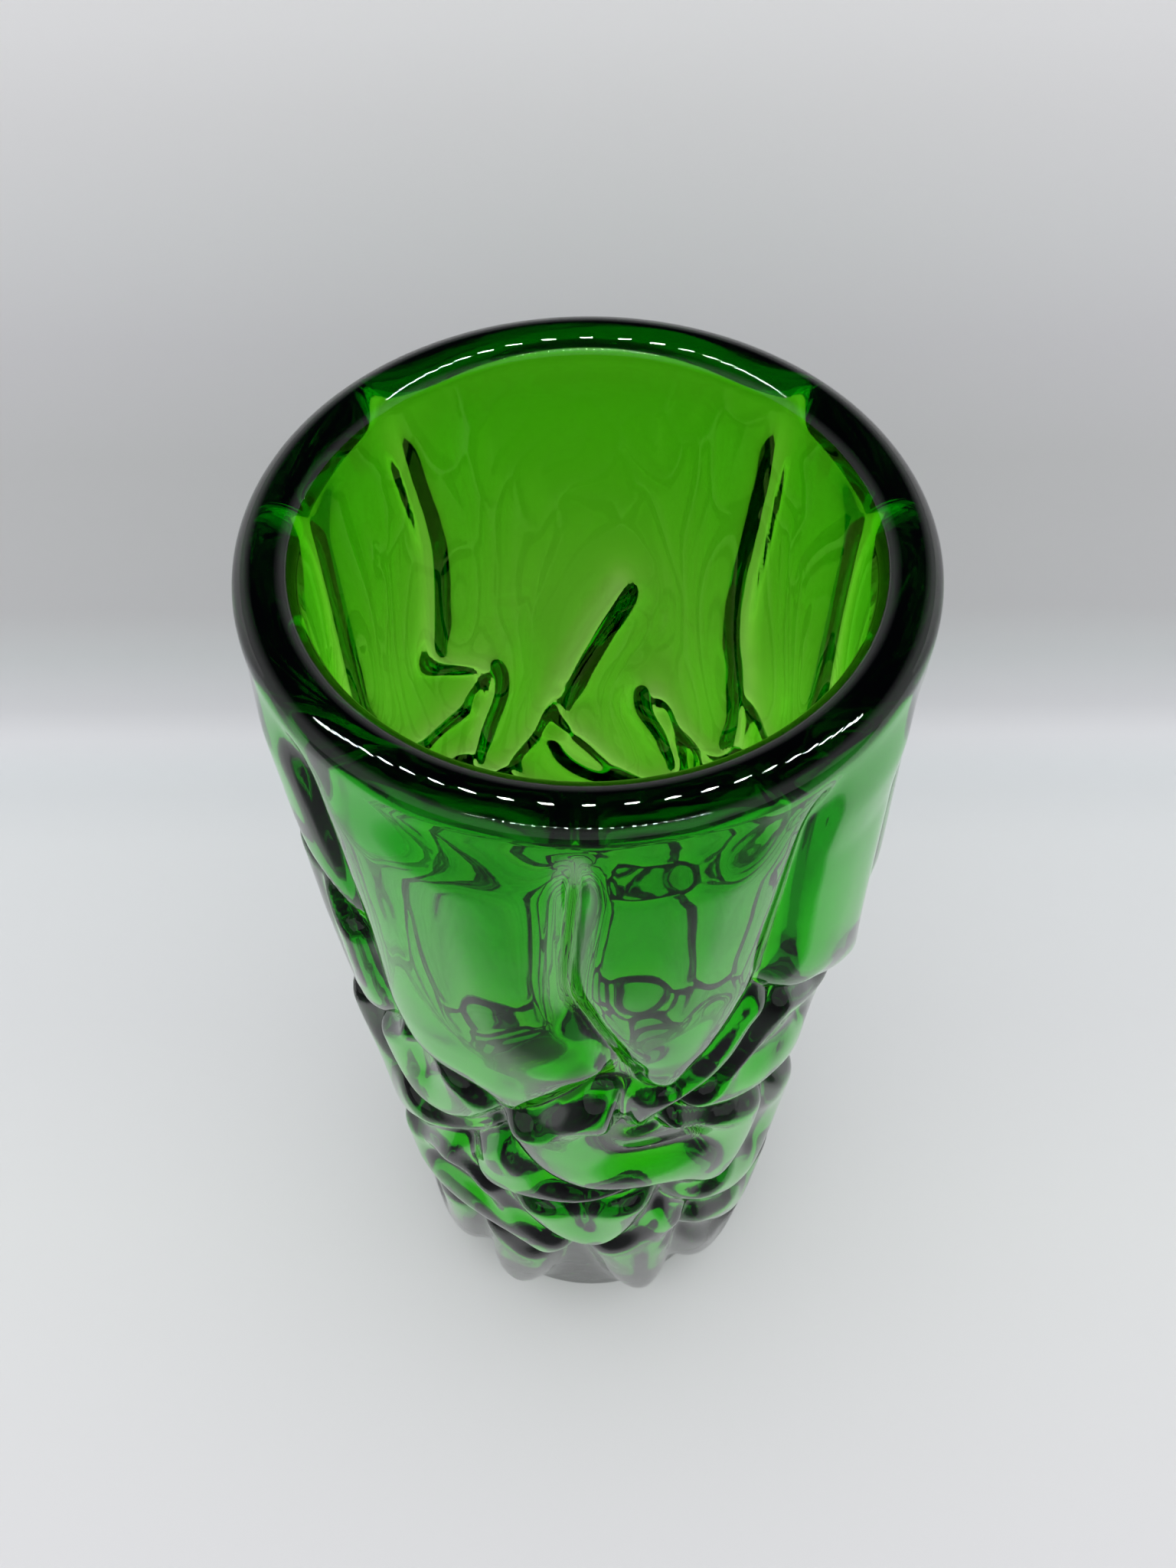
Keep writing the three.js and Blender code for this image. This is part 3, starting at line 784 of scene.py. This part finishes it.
# %% Two bars of LEDs, in metres
LED_BARS = [-0.015, -0.280]
LED_HEIGHT = 0.380
LED_PITCH = 0.0142
LED_WIDTH, LED_DEPTH = 0.0045, 0.011
LEDS_EACH_SIDE = 12
bm = bmesh.new()
for y in LED_BARS:
    for k in range(-LEDS_EACH_SIDE, LEDS_EACH_SIDE + 1):
        made = bmesh.ops.create_grid(bm, x_segments=1, y_segments=1, size=0.5)["verts"]
        bmesh.ops.scale(bm, vec=(LED_WIDTH, LED_DEPTH, 1), verts=made)
        bmesh.ops.translate(bm, vec=(k * LED_PITCH, y, LED_HEIGHT), verts=made)
leds = new_object("led_bars", bm)
print(f"{len(leds.data.polygons)} LEDs")

# %% [markdown]
# ## The glow of the LEDs
# An LED is a point too bright to show any colour of its own, so it is plain white emission. The bars
# are only seen in reflections. They cast no light of their own, because the white world already lights
# the vase evenly, and small strong lights would add noise.

# %% White LEDs
LED_STRENGTH = 120.0
glow = new_material("white_led")
emission = add_node(glow.node_tree, "ShaderNodeEmission", {"Color": WHITE, "Strength": LED_STRENGTH})
add_node(glow.node_tree, "ShaderNodeOutputMaterial", {"Surface": emission.outputs[0]})
glow.cycles.emission_sampling = "NONE"
leds.data.materials.append(glow)
leds.visible_diffuse = False
leds.visible_transmission = False
leds.visible_shadow = False
print(f"LEDs {LED_STRENGTH:.0f} times as bright as white")

# %% [markdown]
# ## The camera
# The photograph was taken from close by, just in front of the vase and a little above it, looking
# steeply down. The place is given in rim radii from the middle of the rim, so it follows the vase.

# %% The camera
CAMERA_BACK, CAMERA_UP = 2.4078, 2.4359
CAMERA_TURN = (33.297, 0.224, -0.265)  # degrees
SENSOR = 36
FOCAL_SHARE = 1538 / 2048  # focal length over the height of the picture
CLIP_START = 0.01
camera_data = bpy.data.cameras.new("camera")
camera_data.sensor_width = SENSOR
camera_data.lens = FOCAL_SHARE * SENSOR
camera_data.clip_start = CLIP_START
camera = bpy.data.objects.new("camera", camera_data)
camera_height = (rim_plane + CAMERA_UP * rim_radius) * MM
camera.location = (0, -CAMERA_BACK * rim_radius * MM, camera_height)
camera.rotation_euler = [math.radians(a) for a in CAMERA_TURN]
scene = bpy.context.scene
scene.collection.objects.link(camera)
scene.camera = camera
print(f"camera {camera_height / MM:.0f} mm above the table")

# %% [markdown]
# ## Bounces
# A ray that looks into the vase meets four faces of glass and more in the folds. With too few bounces
# such rays end early and leave black spots, so glass is given many. Standard is the plain view of
# colours, which shows them about as they are written.

# %% Bounces and view
ALL_BOUNCES = 48
GLASS_BOUNCES = 32
scene.view_settings.view_transform = "Standard"
scene.cycles.max_bounces = ALL_BOUNCES
scene.cycles.transmission_bounces = GLASS_BOUNCES
scene.cycles.glossy_bounces = GLASS_BOUNCES
print(f"up to {GLASS_BOUNCES} bounces in glass")

# %% [markdown]
# ## The end

# %% The end
import json
